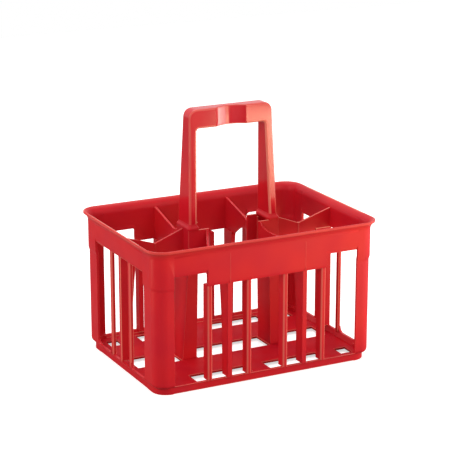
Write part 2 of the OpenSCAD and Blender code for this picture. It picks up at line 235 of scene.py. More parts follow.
@dataclass(frozen=True)
class RimSizes:
    """Sizes of the rim, as in the CAD source, and how much painted light its lip takes.

    Attributes:
        corner_x: Distance of the corner centres from the middle, along the basket.
        corner_y: The same across the basket.
        band_radius: Corner radius of the band below the rim.
        lip: How far the lip stands out past the band.
        low: Height above which the rim sweeps out.
        light: Share of the paler edge tone at the lip's edge, painted light bounced up from the
            floor.
    """

    corner_x: float = 128.0 * MM
    corner_y: float = 87.0 * MM
    band_radius: float = 16.5 * MM
    lip: float = 5.5 * MM
    low: float = 160.0 * MM
    light: float = 0.11

    def wear_and_lip_light(self, place: Vector) -> float:
        """Tells how much painted light, bounced up from the floor, the lip takes at a place.

        Args:
            place: Point on the basket.

        Returns:
            Share of the edge tone, more towards the edge of the lip.
        """
        if place.z < self.low:
            return 0.0
        x = max(abs(place.x) - self.corner_x, 0.0)
        y = max(abs(place.y) - self.corner_y, 0.0)
        out = math.hypot(x, y) - self.band_radius
        return self.light * min(max(out / self.lip, 0.0), 1.0)


@dataclass(frozen=True)
class CameraPlace:
    """Where the camera stands and how it looks.

    Attributes:
        azimuth: Degrees round the basket from its front, negative to the left.
        elevation: Degrees above the table.
        location: Where it stands.
        lens_mm: Focal length.
        sensor_mm: Width of the sensor.
    """

    azimuth: float = -27.13
    elevation: float = 16.29
    location: tuple[float, float, float] = (-0.9121, -1.7804, 0.7424)
    lens_mm: float = 136.54
    sensor_mm: float = 36.0


@dataclass(frozen=True)
class Lamp:
    """A soft round lamp, or a glowing card that stands or lies on the table.

    Attributes:
        name: Lamp name.
        place: Where its middle is.
        target: Point that it faces.
        size: Width and height.
        power: Power in watts.
        colour: Tint as sRGB hex.
        shape: Its outline.
    """

    name: str
    place: tuple[float, float, float]
    target: tuple[float, float, float]
    size: tuple[float, float]
    power: float
    colour: str
    shape: LampShape = LampShape.ROUND


MIDDLE = (0.0, 0.0, 0.13)
LAMPS = (
    Lamp("key_light", (1.2, -1.9, 1.5), MIDDLE, (1.3, 1.3), 6.0, "#FFE6CC"),
    Lamp("left_light", (-1.8, -0.9, 1.2), MIDDLE, (1.2, 1.2), 13.0, "#FFF8F2"),
    Lamp("top_light", (0.1, 0.5, 1.9), MIDDLE, (1.4, 1.4), 17.0, "#FFFFFF"),
    # Card in front and to the right, for the glossy fronts of grip and legs
    Lamp(
        name="front_card",
        place=(0.705, -1.09, 0.08),
        target=(0, 0, 0.08),
        size=(0.3, 0.16),
        power=2.8,
        colour="#FFDDB8",
        shape=LampShape.CARD,
    ),
    # Flat cards in front that face up, the smaller one yellower and to the right
    Lamp(
        name="bounce_card",
        place=(0.2, -0.52, 0.004),
        target=(0.2, -0.52, 1),
        size=(1.0, 0.6),
        power=0.6,
        colour="#FFE8B0",
        shape=LampShape.CARD,
    ),
    Lamp(
        name="warm_card",
        place=(0.3, -0.4, 0.006),
        target=(0.3, -0.4, 1),
        size=(0.24, 0.46),
        power=0.75,
        colour="#FFE8A0",
        shape=LampShape.CARD,
    ),
    # Small card on the left that faces the front left post
    Lamp(
        name="corner_card",
        place=(-0.62, 0.12, 0.11),
        target=(-0.14, -0.1, 0.11),
        size=(0.1, 0.2),
        power=0.8,
        colour="#FFE0C4",
        shape=LampShape.CARD,
    ),
    # Long low card on the right that faces the middle of the basket
    Lamp(
        name="side_card",
        place=(1.1, -0.43, 0.1),
        target=(0, 0, 0.1),
        size=(1.2, 0.18),
        power=8.0,
        colour="#FFF3E8",
        shape=LampShape.CARD,
    ),
)


def srgb(hex_colour: str) -> tuple[float, float, float, float]:
    """Turns an sRGB hex colour into linear RGBA.

    Args:
        hex_colour: Colour written as "#RRGGBB".

    Returns:
        Linear red, green and blue, and an alpha of 1.
    """
    values = [int(hex_colour[i : i + 2], 16) / 255 for i in (1, 3, 5)]
    linear = [v / 12.92 if v <= 0.04045 else ((v + 0.055) / 1.055) ** 2.4 for v in values]
    return (*linear, 1.0)


class Graph:
    """A small helper around one node tree."""

    def __init__(self, tree: bpy.types.NodeTree) -> None:
        """Clears the tree.

        Args:
            tree: Tree to fill.
        """
        self.tree = tree
        tree.nodes.clear()

    def add(self, kind: str, links: dict | None = None, **settings: object) -> bpy.types.Node:
        """Adds a node.

        Args:
            kind: Blender node type.
            links: Input name or index to a value or an output socket.
            **settings: Node properties to set.

        Returns:
            The new node.
        """
        node = self.tree.nodes.new(kind)
        for key, value in settings.items():
            setattr(node, key, value)
        for key, value in (links or {}).items():
            if isinstance(value, bpy.types.NodeSocket):
                self.tree.links.new(value, node.inputs[key])
            else:
                node.inputs[key].default_value = value
        return node


class PlasticMaterial:
    """Builds the procedural material of a moulded polypropylene finish."""

    IOR = 1.49
    # Values of the noise between which the colour drifts, and the surface dulls
    DRIFT = (0.35, 0.65)
    WEAR = (0.3, 0.75)
    # How far below the mean the roughness of a clean place is, as a share of the scuff
    POLISH = 0.25
    # Depth of the waves that a wall takes on as it cools
    WAVE_DEPTH = 0.35 * MM
    SLOW_DETAIL, GRAIN_DETAIL = 1.0, 2.0
    # A little light goes into the wall and comes out redder
    GLOW, GLOW_RADIUS, GLOW_SCALE = 0.06, (1.0, 0.25, 0.2), 1.2 * MM

    def __init__(self, finish: Finish) -> None:
        """Keeps the finish.

        Args:
            finish: Finish to build.
        """
        self.finish = finish

    def build(self) -> bpy.types.Material:
        """Makes the material.

        Returns:
            The material.
        """
        f = self.finish
        material = bpy.data.materials.new(f.name)
        material.use_nodes = True
        g = Graph(material.node_tree)
        place = g.add("ShaderNodeTexCoord").outputs["Object"]
        ripple = g.add(
            "ShaderNodeTexNoise",
            {"Vector": place, "Scale": 1 / (f.ripple_mm * MM), "Detail": self.SLOW_DETAIL},
        ).outputs["Fac"]
        plastic = g.add(
            "ShaderNodeBsdfPrincipled",
            {
                "Base Color": self._colour(g, ripple),
                "Roughness": self._roughness(g, place),
                "Normal": self._normal(g, place, ripple),
                "IOR": self.IOR,
                "Specular IOR Level": f.specular,
                "Subsurface Weight": self.GLOW,
                "Subsurface Radius": self.GLOW_RADIUS,
                "Subsurface Scale": self.GLOW_SCALE,
            },
        )
        g.add("ShaderNodeOutputMaterial", {"Surface": plastic.outputs["BSDF"]})
        return material

    def _colour(self, g: Graph, ripple: bpy.types.NodeSocket) -> bpy.types.NodeSocket:
        """Colours the plastic: a slow drift in tone, and a painted highlight on marked edges.

        Args:
            g: Graph to add to.
            ripple: Slow noise.

        Returns:
            Colour output.
        """
        f = self.finish
        drift = g.add(
            "ShaderNodeMapRange",
            {"Value": ripple, "From Min": self.DRIFT[0], "From Max": self.DRIFT[1]},
        )
        body = g.add(
            "ShaderNodeMix",
            {
                "Factor": drift.outputs["Result"],
                MIX_FIRST: srgb(f.colour),
                MIX_SECOND: srgb(f.shade),
            },
            data_type="RGBA",
        )
        # Painted highlight: faces marked in the edge layer are mixed towards the paler edge tone
        marked = g.add("ShaderNodeAttribute", attribute_name=EDGE_LAYER).outputs["Fac"]
        edge = g.add("ShaderNodeMath", {0: marked, 1: f.edge_share}, operation="MULTIPLY")
        highlighted_edges = g.add(
            "ShaderNodeMix",
            {
                "Factor": edge.outputs[0],
                MIX_FIRST: body.outputs[MIX_RESULT],
                MIX_SECOND: srgb(f.edge),
            },
            data_type="RGBA",
        )
        return highlighted_edges.outputs[MIX_RESULT]

    def _roughness(self, g: Graph, place: bpy.types.NodeSocket) -> bpy.types.NodeSocket:
        """Dulls the surface in large soft patches, as handling does.

        Args:
            g: Graph to add to.
            place: Object coordinates.

        Returns:
            Roughness output.
        """
        f = self.finish
        wear_and_lip_light = g.add(
            "ShaderNodeTexNoise",
            {"Vector": place, "Scale": 1 / (f.scuff_mm * MM), "Detail": self.SLOW_DETAIL},
        )
        rough = g.add(
            "ShaderNodeMapRange",
            {
                "Value": wear_and_lip_light.outputs["Fac"],
                "From Min": self.WEAR[0],
                "From Max": self.WEAR[1],
                "To Min": f.roughness * (1 - self.POLISH * f.scuff),
                "To Max": f.roughness * (1 + f.scuff),
            },
        )
        return rough.outputs["Result"]

    def _normal(
        self, g: Graph, place: bpy.types.NodeSocket, ripple: bpy.types.NodeSocket
    ) -> bpy.types.NodeSocket:
        """Adds the grain of the mould and the slow waves of the wall.

        Args:
            g: Graph to add to.
            place: Object coordinates.
            ripple: Slow noise.

        Returns:
            Normal output.
        """
        f = self.finish
        grain = g.add(
            "ShaderNodeTexNoise",
            {"Vector": place, "Scale": 1 / (f.grain_mm * MM), "Detail": self.GRAIN_DETAIL},
        )
        fine = g.add(
            "ShaderNodeBump",
            {"Height": grain.outputs["Fac"], "Distance": f.grain_depth_mm * MM, "Strength": 1.0},
        )
        wave = g.add(
            "ShaderNodeBump",
            {
                "Height": ripple,
                "Distance": self.WAVE_DEPTH,
                "Strength": 1.0,
                "Normal": fine.outputs["Normal"],
            },
        )
        return wave.outputs["Normal"]


def welded(node: bpy.types.Object) -> bmesh.types.BMesh:
    """Copies a node's mesh with its doubled vertices joined.

    Args:
        node: CAD node.

    Returns:
        A new bmesh, which the caller frees.
    """
    weld_distance = 2e-6
    bm = bmesh.new()
    bm.from_mesh(node.data)
    bmesh.ops.remove_doubles(bm, verts=bm.verts[:], dist=weld_distance)
    return bm


def islands(bm: bmesh.types.BMesh) -> list[list[bmesh.types.BMFace]]:
    """Splits a mesh into its loose solids.

    Args:
        bm: Mesh to split.

    Returns:
        Faces of each solid, in the mesh's own order, so that every run gives
        the same pieces.
    """
    left, found = set(bm.faces), []
    for seed in bm.faces:
        if seed not in left:
            continue
        left.remove(seed)
        stack, island = [seed], []
        while stack:
            face = stack.pop()
            island.append(face)
            for edge in face.edges:
                for other in edge.link_faces:
                    if other in left:
                        left.remove(other)
                        stack.append(other)
        found.append(island)
    return found


def loft(
    bm: bmesh.types.BMesh, loops: list[list[bmesh.types.BMVert]]
) -> list[tuple[int, bmesh.types.BMFace]]:
    """Skins a row of closed loops and closes both ends.

    Args:
        bm: Mesh to add to.
        loops: Loops with the same number of points.

    Returns:
        Each side face with its place round the loop.
    """
    sides = []
    for first, second in zip(loops, loops[1:]):
        for i in range(len(first)):
            j = (i + 1) % len(first)
            sides.append((i, bm.faces.new((first[i], first[j], second[j], second[i]))))
    bm.faces.new(loops[0])
    bm.faces.new(list(reversed(loops[-1])))
    return sides


def as_mesh(bm: bmesh.types.BMesh, name: str) -> bpy.types.Mesh:
    """Turns a bmesh into a mesh and frees it.

    Args:
        bm: Mesh to turn.
        name: Name of the mesh.

    Returns:
        The mesh.
    """
    mesh = bpy.data.meshes.new(name)
    bm.to_mesh(mesh)
    bm.free()
    return mesh


def rounded_outline(
    points: list[tuple[float, float, float]], steps: int
) -> list[tuple[float, float]]:
    """Rounds the corners of a closed outline.

    Args:
        points: Corner points with their radii.
        steps: Facets per corner.

    Returns:
        Outline points, the same number for each corner.
    """
    outline = []
    for i, (x, y, radius) in enumerate(points):
        here = Vector((x, y))
        before = (Vector(points[i - 1][:2]) - here).normalized()
        after = (Vector(points[(i + 1) % len(points)][:2]) - here).normalized()
        half_angle = before.angle(after) / 2
        reach = radius / math.tan(half_angle)
        start, end = here + before * reach, here + after * reach
        centre = here + (before + after).normalized() * (radius / math.sin(half_angle))
        for k in range(steps + 1):
            chord = start.lerp(end, k / steps) - centre
            outline.append(tuple(centre + chord.normalized() * radius))
    return outline


def add_piece(
    name: str,
    mesh: bpy.types.Mesh,
    material: bpy.types.Material,
    nodes: tuple[str, ...] = (),
    sharp_degrees: float = 34.0,
) -> None:
    """Adds a finished piece of the carrier, smooth between its real edges.

    Args:
        name: Piece name.
        mesh: Its mesh.
        material: Its material.
        nodes: CAD nodes that it stands for.
        sharp_degrees: Angle between faces above which an edge stays sharp.
    """
    mesh.materials.append(material)
    piece = bpy.data.objects.new(name, mesh)
    bpy.context.scene.collection.objects.link(piece)
    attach(piece, "root")
    if nodes:
        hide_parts(*nodes)
    mesh.shade_smooth()
    mesh.set_sharp_from_angle(angle=math.radians(sharp_degrees))
    normals = piece.modifiers.new("face_weighted_normals", "WEIGHTED_NORMAL")
    normals.keep_sharp = True
    LOG.info("added %s", name)


@dataclass(frozen=True)
class Solid:
    """One solid of a CAD node.

    Attributes:
        node: Name of the node.
        tree: Search tree of its faces.
        low: Lowest corner of its box.
        high: Highest corner of its box.
    """

    node: str
    tree: BVHTree
    low: Vector
    high: Vector


class Solidity:
    """Knows which points lie inside the moulding, region by region."""

    # Slanted, so that a ray runs along no wall
    PROBE_DIRECTION = Vector((0.31, 0.52, 0.796)).normalized()
    # How far past a face the next ray starts, and when to stop counting
    PROBE_STEP = 1e-6
    MOST_HITS = 60
    # How far apart two places may be and still count as one
    SLACK = 0.05 * MM

    def __init__(self, nodes: dict[str, bpy.types.Object]) -> None:
        """Prepares a search tree for each solid of each node.

        Args:
            nodes: CAD nodes by name.
        """
        self.solids: list[Solid] = []
        for name, node in nodes.items():
            bm = welded(node)
            for faces in islands(bm):
                verts = list(dict.fromkeys(v for face in faces for v in face.verts))
                index = {v: i for i, v in enumerate(verts)}
                tree = BVHTree.FromPolygons(
                    [v.co for v in verts], [[index[v] for v in f.verts] for f in faces]
                )
                low = Vector([min(v.co[i] for v in verts) for i in range(3)])
                high = Vector([max(v.co[i] for v in verts) for i in range(3)])
                self.solids.append(Solid(name, tree, low, high))
            bm.free()

    def filled(self, point: Vector, skip: str) -> bool:
        """Tells whether a point lies inside another node.

        Args:
            point: Point to test.
            skip: Node that doesn't count.

        Returns:
            True if some other node is solid there.
        """
        for solid in self.solids:
            within = all(solid.low[i] <= point[i] <= solid.high[i] for i in range(3))
            if solid.node != skip and within and self._crossings(solid.tree, point) % 2:
                return True
        return False

    def _crossings(self, tree: BVHTree, point: Vector) -> int:
        """Counts the faces that a ray from a point passes through.

        Args:
            tree: Faces of one solid.
            point: Start of the ray.

        Returns:
            The number of faces, odd if the point is inside.
        """
        hits, start = 0, point.copy()
        while hits < self.MOST_HITS:
            place = tree.ray_cast(start, self.PROBE_DIRECTION)[0]
            if place is None:
                break
            hits += 1
            start = place + self.PROBE_DIRECTION * self.PROBE_STEP
        return hits

    def limits(self, name: str, low: Vector, high: Vector) -> list[tuple[Axis, float]]:
        """Lists where neighbours begin and end along a node.

        Args:
            name: Node to look at.
            low: Its lowest corner.
            high: Its highest corner.

        Returns:
            Axis and place of each limit inside the node's box.
        """
        slack = self.SLACK
        found: dict[tuple[Axis, int], float] = {}
        for solid in self.solids:
            apart = any(
                solid.low[i] > high[i] + slack or solid.high[i] < low[i] - slack
                for i in range(3)
            )
            if solid.node == name or apart:
                continue
            for axis in Axis:
                i = axis.value
                for place in (solid.low[i], solid.high[i]):
                    if low[i] + slack < place < high[i] - slack:
                        found[(axis, round(place / slack))] = place
        return [(axis, place) for (axis, _), place in found.items()]


@dataclass(frozen=True)
class Basket:
    """Redraws the basket's CAD nodes with the small radii that a mould leaves.

    Attributes:
        nodes: CAD nodes by name.
        solidity: Knows where those nodes are solid.
        rim: Sizes of the rim.
        probe: How far off an edge it is tested whether a neighbour joins there.
        flat_angle: Faces closer to flat than this are joined before the rounding.
        cut_tolerance: How near to a cut a vertex counts as lying on it.
        upward: Height of the normal above which a rounded edge is an upper edge.
    """

    nodes: dict[str, bpy.types.Object]
    solidity: Solidity
    rim: RimSizes = RimSizes()
    probe: float = 0.15 * MM
    flat_angle: float = math.radians(0.6)
    cut_tolerance: float = 1e-6
    upward: float = 0.3

    def build(self, walls: bpy.types.Material, floor: bpy.types.Material) -> None:
        """Redraws every node that isn't part of the bow.

        Args:
            walls: Material of everything but the floor.
            floor: Material of the floor.
        """
        for name in sorted(self.nodes):
            if name in Handle.NODES:
                continue
            material = floor if name.startswith("floor") else walls
            mesh = self._rounded(name, f"{name}_moulding")
            add_piece(f"{name}_moulding", mesh, material, (name,))

    def _rounded(self, node: str, name: str) -> bpy.types.Mesh:
        """Rounds the free edges of a node and marks how much painted highlight its faces take.

        Args:
            node: CAD node.
            name: Name of the new mesh.

        Returns:
            The mesh.
        """
        starts = (r for start, r in ROUNDINGS.items() if node.startswith(start))
        rounding = next(starts, Rounding())
        bm = welded(self.nodes[node])
        bmesh.ops.dissolve_limit(
            bm, angle_limit=self.flat_angle, verts=bm.verts[:], edges=bm.edges[:]
        )
        self._cut_at_joints(bm, node)
        edges = [e for e in bm.edges if self._is_free_edge(e, node, rounding)]
        layer = bm.faces.layers.float.new(EDGE_LAYER)
        made = bmesh.ops.bevel(
            bm,
            geom=edges,
            offset=rounding.radius,
            segments=rounding.segments,
            profile=0.5,
            affect="EDGES",
            clamp_overlap=True,
            loop_slide=True,
        )
        bm.normal_update()
        # Painted highlight: round corners and rounded edges take the paler edge tone, upper
        # edges more, as light falls from above
        for face in bm.faces:
            turn = 2 * abs(face.normal.x * face.normal.y)
            # Painted light on the lip, as if bounced up from the floor
            lip = self.rim.wear_and_lip_light(face.calc_center_median())
            face[layer] = rounding.corners * turn + lip
        for face in made["faces"]:
            upper = face.normal.z > self.upward
            face[layer] = rounding.light if upper else rounding.upright
        return as_mesh(bm, name)

    def _cut_at_joints(self, bm: bmesh.types.BMesh, node: str) -> None:
        """Cuts a node where its neighbours begin and end, so an edge is free or joined.

        Args:
            bm: Mesh of the node.
            node: CAD node.
        """
        low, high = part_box(node)
        for axis, place in self.solidity.limits(node, low, high):
            normal = Vector([float(i == axis.value) for i in range(3)])
            bmesh.ops.bisect_plane(
                bm,
                geom=bm.verts[:] + bm.edges[:] + bm.faces[:],
                dist=self.cut_tolerance,
                plane_co=normal * place,
                plane_no=normal,
            )

    def _is_free_edge(self, edge: bmesh.types.BMEdge, node: str, rounding: Rounding) -> bool:
        """Tells whether an edge is a real outer edge and not a joint with a neighbour.

        Args:
            edge: Edge to judge.
            node: Node it belongs to.
            rounding: Smallest angle that counts.

        Returns:
            True if the edge is to be rounded.
        """
        if len(edge.link_faces) != 2 or edge.calc_face_angle_signed(0.0) < rounding.min_angle:
            return False
        middle = (edge.verts[0].co + edge.verts[1].co) / 2
        first, second = (f.normal * self.probe for f in edge.link_faces)
        probes = (middle + first - second, middle + second - first, middle + first + second)
        return not any(self.solidity.filled(p, node) for p in probes)


@dataclass(frozen=True)
class Station:
    """One cross-section of the bow.

    Attributes:
        inner: Point on the inside of the bow, as x and z.
        outer: Point on the outside of the bow, as x and z.
    """

    inner: tuple[float, float]
    outer: tuple[float, float]


@dataclass(frozen=True)
class Rib:
    """One thin rib in the open back of the bow.

    Attributes:
        x: Its middle across the basket's front.
        z: Its middle in height.
        across_leg: True for a rib that lies level across a leg.
    """

    x: float
    z: float
    across_leg: bool


@dataclass(frozen=True)
class Handle:
    """Draws the bow as one sweep, open at the back, and a collar at each foot.

    The sizes are those of its solid in the CAD source, as far as that has them.

    Attributes:
        top: Height of the top of the grip.
        grip_height: Height of the grip bar.
        leg_outer: Distance of a leg's outer face from the middle, at the top.
        leg_width: Width of a leg seen from the front.
        lean: Sideways lean of the legs, per height.
        grip_depth: Depth at the top, front to back.
        foot_depth: Depth at the foot.
        foot: Height of the top of the collars.
        seat: Height of the top of the sockets.
        outer_radius: Outer corner radius of the bow.
        inner_radius: Corner radius of the hand gap.
        dish_half: Half width of the hollow in the front of the grip.
        dish_depth: Depth of that hollow.
        web: Thickness of the webs.
        front_round: Radius of the front edges.
        dish_round: Radius of the front edges in the hollow.
        back_round: Radius of the edges of the open back.
        pocket_round: Radius in the bottom of the channel.
        sunk: How far the legs reach down into the collars.
        rib_pitch: Spacing of the ribs in the grip.
        rib_half: Half the thickness of a rib.
        rib_back: How far the ribs stop short of the back.
        leg_bays: Number of bays that the ribs of a leg make.
        flange: How far a collar swells sideways.
        flange_depth: How far it swells front and back.
        flange_round: Corner radius of a collar seen from above.
    """

    top: float = 309.5 * MM
    grip_height: float = 23.0 * MM
    leg_outer: float = 54.5 * MM
    leg_width: float = 10.0 * MM
    lean: float = 0.031
    grip_depth: float = 16.5 * MM
    foot_depth: float = 31.5 * MM
    foot: float = 172.0 * MM
    seat: float = 166.0 * MM
    outer_radius: float = 10.0 * MM
    inner_radius: float = 3.5 * MM
    dish_half: float = 20.0 * MM
    dish_depth: float = 7.0 * MM
    web: float = 2.8 * MM
    front_round: float = 2.3 * MM
    dish_round: float = 1.2 * MM
    back_round: float = 0.9 * MM
    pocket_round: float = 0.8 * MM
    sunk: float = 1.0 * MM
    rib_pitch: float = 15.0 * MM
    rib_half: float = 0.95 * MM
    rib_back: float = 1.2 * MM
    leg_bays: int = 5
    flange: float = 2.5 * MM
    flange_depth: float = 1.6 * MM
    flange_round: float = 2.4 * MM

    NODES = ("handle_grip", "handle_leg_left", "handle_leg_right")
    CORNER_STEPS = 5
    # Share of the painted edge highlight at the corners of the channel, in the order in which
    # a section draws them: outer back, outer front, inner front, inner back
    EDGE_LIGHT = (0.5, 0.35, 1.0, 0.5)
    LEG_STEPS, BEND_STEPS = 14, 16
    # Sections along the grip: outside the hollow, as shares of the way from the
    # corner, and inside it, closer together at its crisp edges
    PLAIN_SHARES = (0.75, 0.5, 0.25, 0.04)
    DISH_SHARES = (1.0, 0.97, 0.9, 0.8, 0.68, 0.56, 0.44, 0.32, 0.2, 0.1)
    # Just past the hollow, so that the section at its edge belongs to it
    DISH_REACH = 1.001
    # Outline of a collar from the side: share of the way up from the seat to the
    # foot, a little past it for the fillet, and share of the swell
    COLLAR_PROFILE = (
        (0.0, 0.86),
        (0.1, 0.97),
        (0.25, 1.0),
        (0.42, 0.97),
        (0.55, 0.8),
        (0.72, 0.45),
        (0.95, 0.12),
        (1.2, 0.02),
    )
    COLLAR_STEPS = 6
    # Angles in degrees above which the edges of bow and collars stay sharp
    BOW_SHARP, COLLAR_SHARP = 30.0, 40.0

    @property
    def grip_low(self) -> float:
        """Height of the underside of the grip."""
        return self.top - self.grip_height

    def outer(self, z: float) -> float:
        """Distance of a leg's outer face from the middle at height z."""
        return self.leg_outer + (self.top - z) * self.lean

    def inner(self, z: float) -> float:
        """Distance of a leg's inner face from the middle at height z."""
        return self.outer(z) - self.leg_width

    def half_depth(self, z: float) -> float:
        """Half the depth of the bow at height z."""
        growth = (self.foot_depth - self.grip_depth) / 2 / (self.top - self.foot)
        return self.grip_depth / 2 + (self.top - z) * growth

    def dish(self, x: float) -> float:
        """Gives the depth of the hollow in the front of the grip.

        Args:
            x: Distance from the middle.

        Returns:
            How far the front is set back there.
        """
        if abs(x) >= self.dish_half:
            return 0.0
        radius = (self.dish_half**2 + self.dish_depth**2) / (2 * self.dish_depth)
        return self.dish_depth - radius + math.sqrt(radius**2 - x * x)

    def build(self, gloss: bpy.types.Material, satin: bpy.types.Material) -> None:
        """Adds the bow and its two collars.

        Args:
            gloss: Material of the bow.
            satin: Material of the collars, which are as dull as the basket.
        """
        add_piece("handle_bow", self._bow(), gloss, self.NODES, self.BOW_SHARP)
        for side in Side:
            name = f"handle_collar_{side.name.lower()}"
            mesh = self._collar(name, side)
            add_piece(name, mesh, satin, sharp_degrees=self.COLLAR_SHARP)

    def _bow(self) -> bpy.types.Mesh:
        """Builds the bow.

        Returns:
            The mesh of legs and grip.
        """
        bm = bmesh.new()
        loops = [[bm.verts.new(p) for p in self._section(st)] for st in self._stations()]
        layer = bm.faces.layers.float.new(EDGE_LAYER)
        # Painted highlight along the corners of the bow
        for i, face in loft(bm, loops):
            corner, step = divmod(i, self.CORNER_STEPS + 1)
            if step < self.CORNER_STEPS and corner < len(self.EDGE_LIGHT):
                face[layer] = self.EDGE_LIGHT[corner]
        for rib in self._ribs():
            self._add_rib(bm, rib)
        bmesh.ops.recalc_face_normals(bm, faces=bm.faces[:])
        return as_mesh(bm, "handle_bow")

    def _stations(self) -> list[Station]:
        """Lists the cross-sections from the right foot over the grip to the left foot.

        Returns:
            The stations in order.
        """
        bend_z = self.grip_low - self.inner_radius
        half: list[Station] = []
        for i in range(self.LEG_STEPS):
            z = self.foot - self.sunk + (bend_z - self.foot) * i / self.LEG_STEPS
            half.append(Station((self.inner(z), z), (self.outer(z), z)))
        half.extend(self._bend(bend_z))
        start_x = self.inner(bend_z) - self.inner_radius
        places = [self.dish_half + (start_x - self.dish_half) * f for f in self.PLAIN_SHARES]
        places += [self.dish_half * f for f in self.DISH_SHARES]
        half.extend(Station((x, self.grip_low), (x, self.top)) for x in places)
        other = [
            Station((-st.inner[0], st.inner[1]), (-st.outer[0], st.outer[1]))
            for st in reversed(half)
        ]
        return [*half, Station((0.0, self.grip_low), (0.0, self.top)), *other]

    def _bend(self, bend_z: float) -> list[Station]:
        """Lists the cross-sections round the corner of the bow.

        Args:
            bend_z: Height at which the inner radius starts.

        Returns:
            The stations of the corner.
        """
        arc_z = self.top - self.outer_radius
        arc_x = self.outer(arc_z) - self.outer_radius
        end_x = self.inner(bend_z) - self.inner_radius
        quarter = math.pi / 2 * self.outer_radius
        rise, run = arc_z - bend_z, arc_x - end_x
        whole = rise + quarter + run
        stations = []
        for i in range(self.BEND_STEPS + 1):
            t = i / self.BEND_STEPS
            angle = t * math.pi / 2
            inner = (
                end_x + self.inner_radius * math.cos(angle),
                bend_z + self.inner_radius * math.sin(angle),
            )
            way = t * whole
            if way < rise:
                outer = (self.outer(bend_z + way), bend_z + way)
            elif way < rise + quarter:
                turn = (way - rise) / self.outer_radius
                outer = (
                    arc_x + self.outer_radius * math.cos(turn),
                    arc_z + self.outer_radius * math.sin(turn),
                )
            else:
                outer = (arc_x - (way - rise - quarter), self.top)
            stations.append(Station(inner, outer))
        return stations

    def _section(self, station: Station) -> list[Vector]:
        """Draws one cross-section: a channel open at the back, rounded in front.

        Args:
            station: Where it is.

        Returns:
            Its points.
        """
        inner, outer = Vector(station.inner), Vector(station.outer)
        width = (outer - inner).length
        on_grip = inner.x == outer.x
        hollow = self.dish(inner.x) if on_grip else 0.0
        # The front wall of a leg is twice as thick as that of the grip
        skin = self.web if on_grip else 2 * self.web
        near, far = self.half_depth(inner.y), self.half_depth(outer.y)
        near_front, far_front = hollow - near, hollow - far
        in_dish = abs(inner.x) <= self.dish_half * self.DISH_REACH
        front = self.dish_round if in_dish else self.front_round
        tip = self.back_round
        outline = rounded_outline(
            [
                (width, far, tip),
                (width, far_front, front),
                (0.0, near_front, front),
                (0.0, near, tip),
                (self.web, near, tip),
                (self.web, near_front + skin, self.pocket_round),
                (width - self.web, far_front + skin, self.pocket_round),
                (width - self.web, far, tip),
            ],
            self.CORNER_STEPS,
        )
        along = (outer - inner) / width
        points = []
        for a, b in outline:
            place = inner + along * a
            points.append(Vector((place.x, b, place.y)))
        return points

    def _ribs(self) -> list[Rib]:
        """Lists the ribs in the open back.

        Returns:
            The ribs of the grip and then those of each leg.
        """
        grip_z = self.top - self.grip_height / 2
        ribs = [Rib(i * self.rib_pitch, grip_z, False) for i in range(-2, 3)]
        for side in Side:
            for i in range(1, self.leg_bays):
                z = self.foot + (self.grip_low - self.foot) * i / self.leg_bays
                ribs.append(Rib(side.value * (self.inner(z) + self.leg_width / 2), z, True))
        return ribs

    def _add_rib(self, bm: bmesh.types.BMesh, rib: Rib) -> None:
        """Adds one rib.

        Args:
            bm: Mesh to add to.
            rib: Where it is.
        """
        half_x = self.leg_width / 2 - self.web / 2 if rib.across_leg else self.rib_half
        half_z = self.rib_half if rib.across_leg else self.grip_height / 2 - self.web / 2
        back = self.half_depth(rib.z) - self.rib_back
        hollow = 0.0 if rib.across_leg else self.dish(rib.x)
        front = -self.half_depth(rib.z) + hollow + self.web / 2
        for vert in bmesh.ops.create_cube(bm, size=1.0)["verts"]:
            vert.co = Vector(
                (
                    rib.x + vert.co.x * 2 * half_x,
                    (front + back) / 2 + vert.co.y * (back - front),
                    rib.z + vert.co.z * 2 * half_z,
                )
            )

    def _collar(self, name: str, side: Side) -> bpy.types.Mesh:
        """Draws the flange that spreads a leg's foot over its socket.

        Args:
            name: Name of the mesh.
            side: Which leg.

        Returns:
            The mesh.
        """
        base_x = (self.inner(self.foot) + self.outer(self.foot)) / 2
        half_x, half_y = self.leg_width / 2, self.half_depth(self.foot)
        bm = bmesh.new()
        loops = []
        for up, out in self.COLLAR_PROFILE:
            x0 = half_x + self.flange * out
            y0 = half_y + self.flange_depth * out
            corners_at = ((x0, y0), (x0, -y0), (-x0, -y0), (-x0, y0))
            ring = rounded_outline(
                [(x, y, self.flange_round) for x, y in corners_at], self.COLLAR_STEPS
            )
            z = self.seat + (self.foot - self.seat) * up
            loops.append([bm.verts.new((side.value * base_x + x, y, z)) for x, y in ring])
        loft(bm, loops)
        bmesh.ops.recalc_face_normals(bm, faces=bm.faces[:])
        return as_mesh(bm, name)


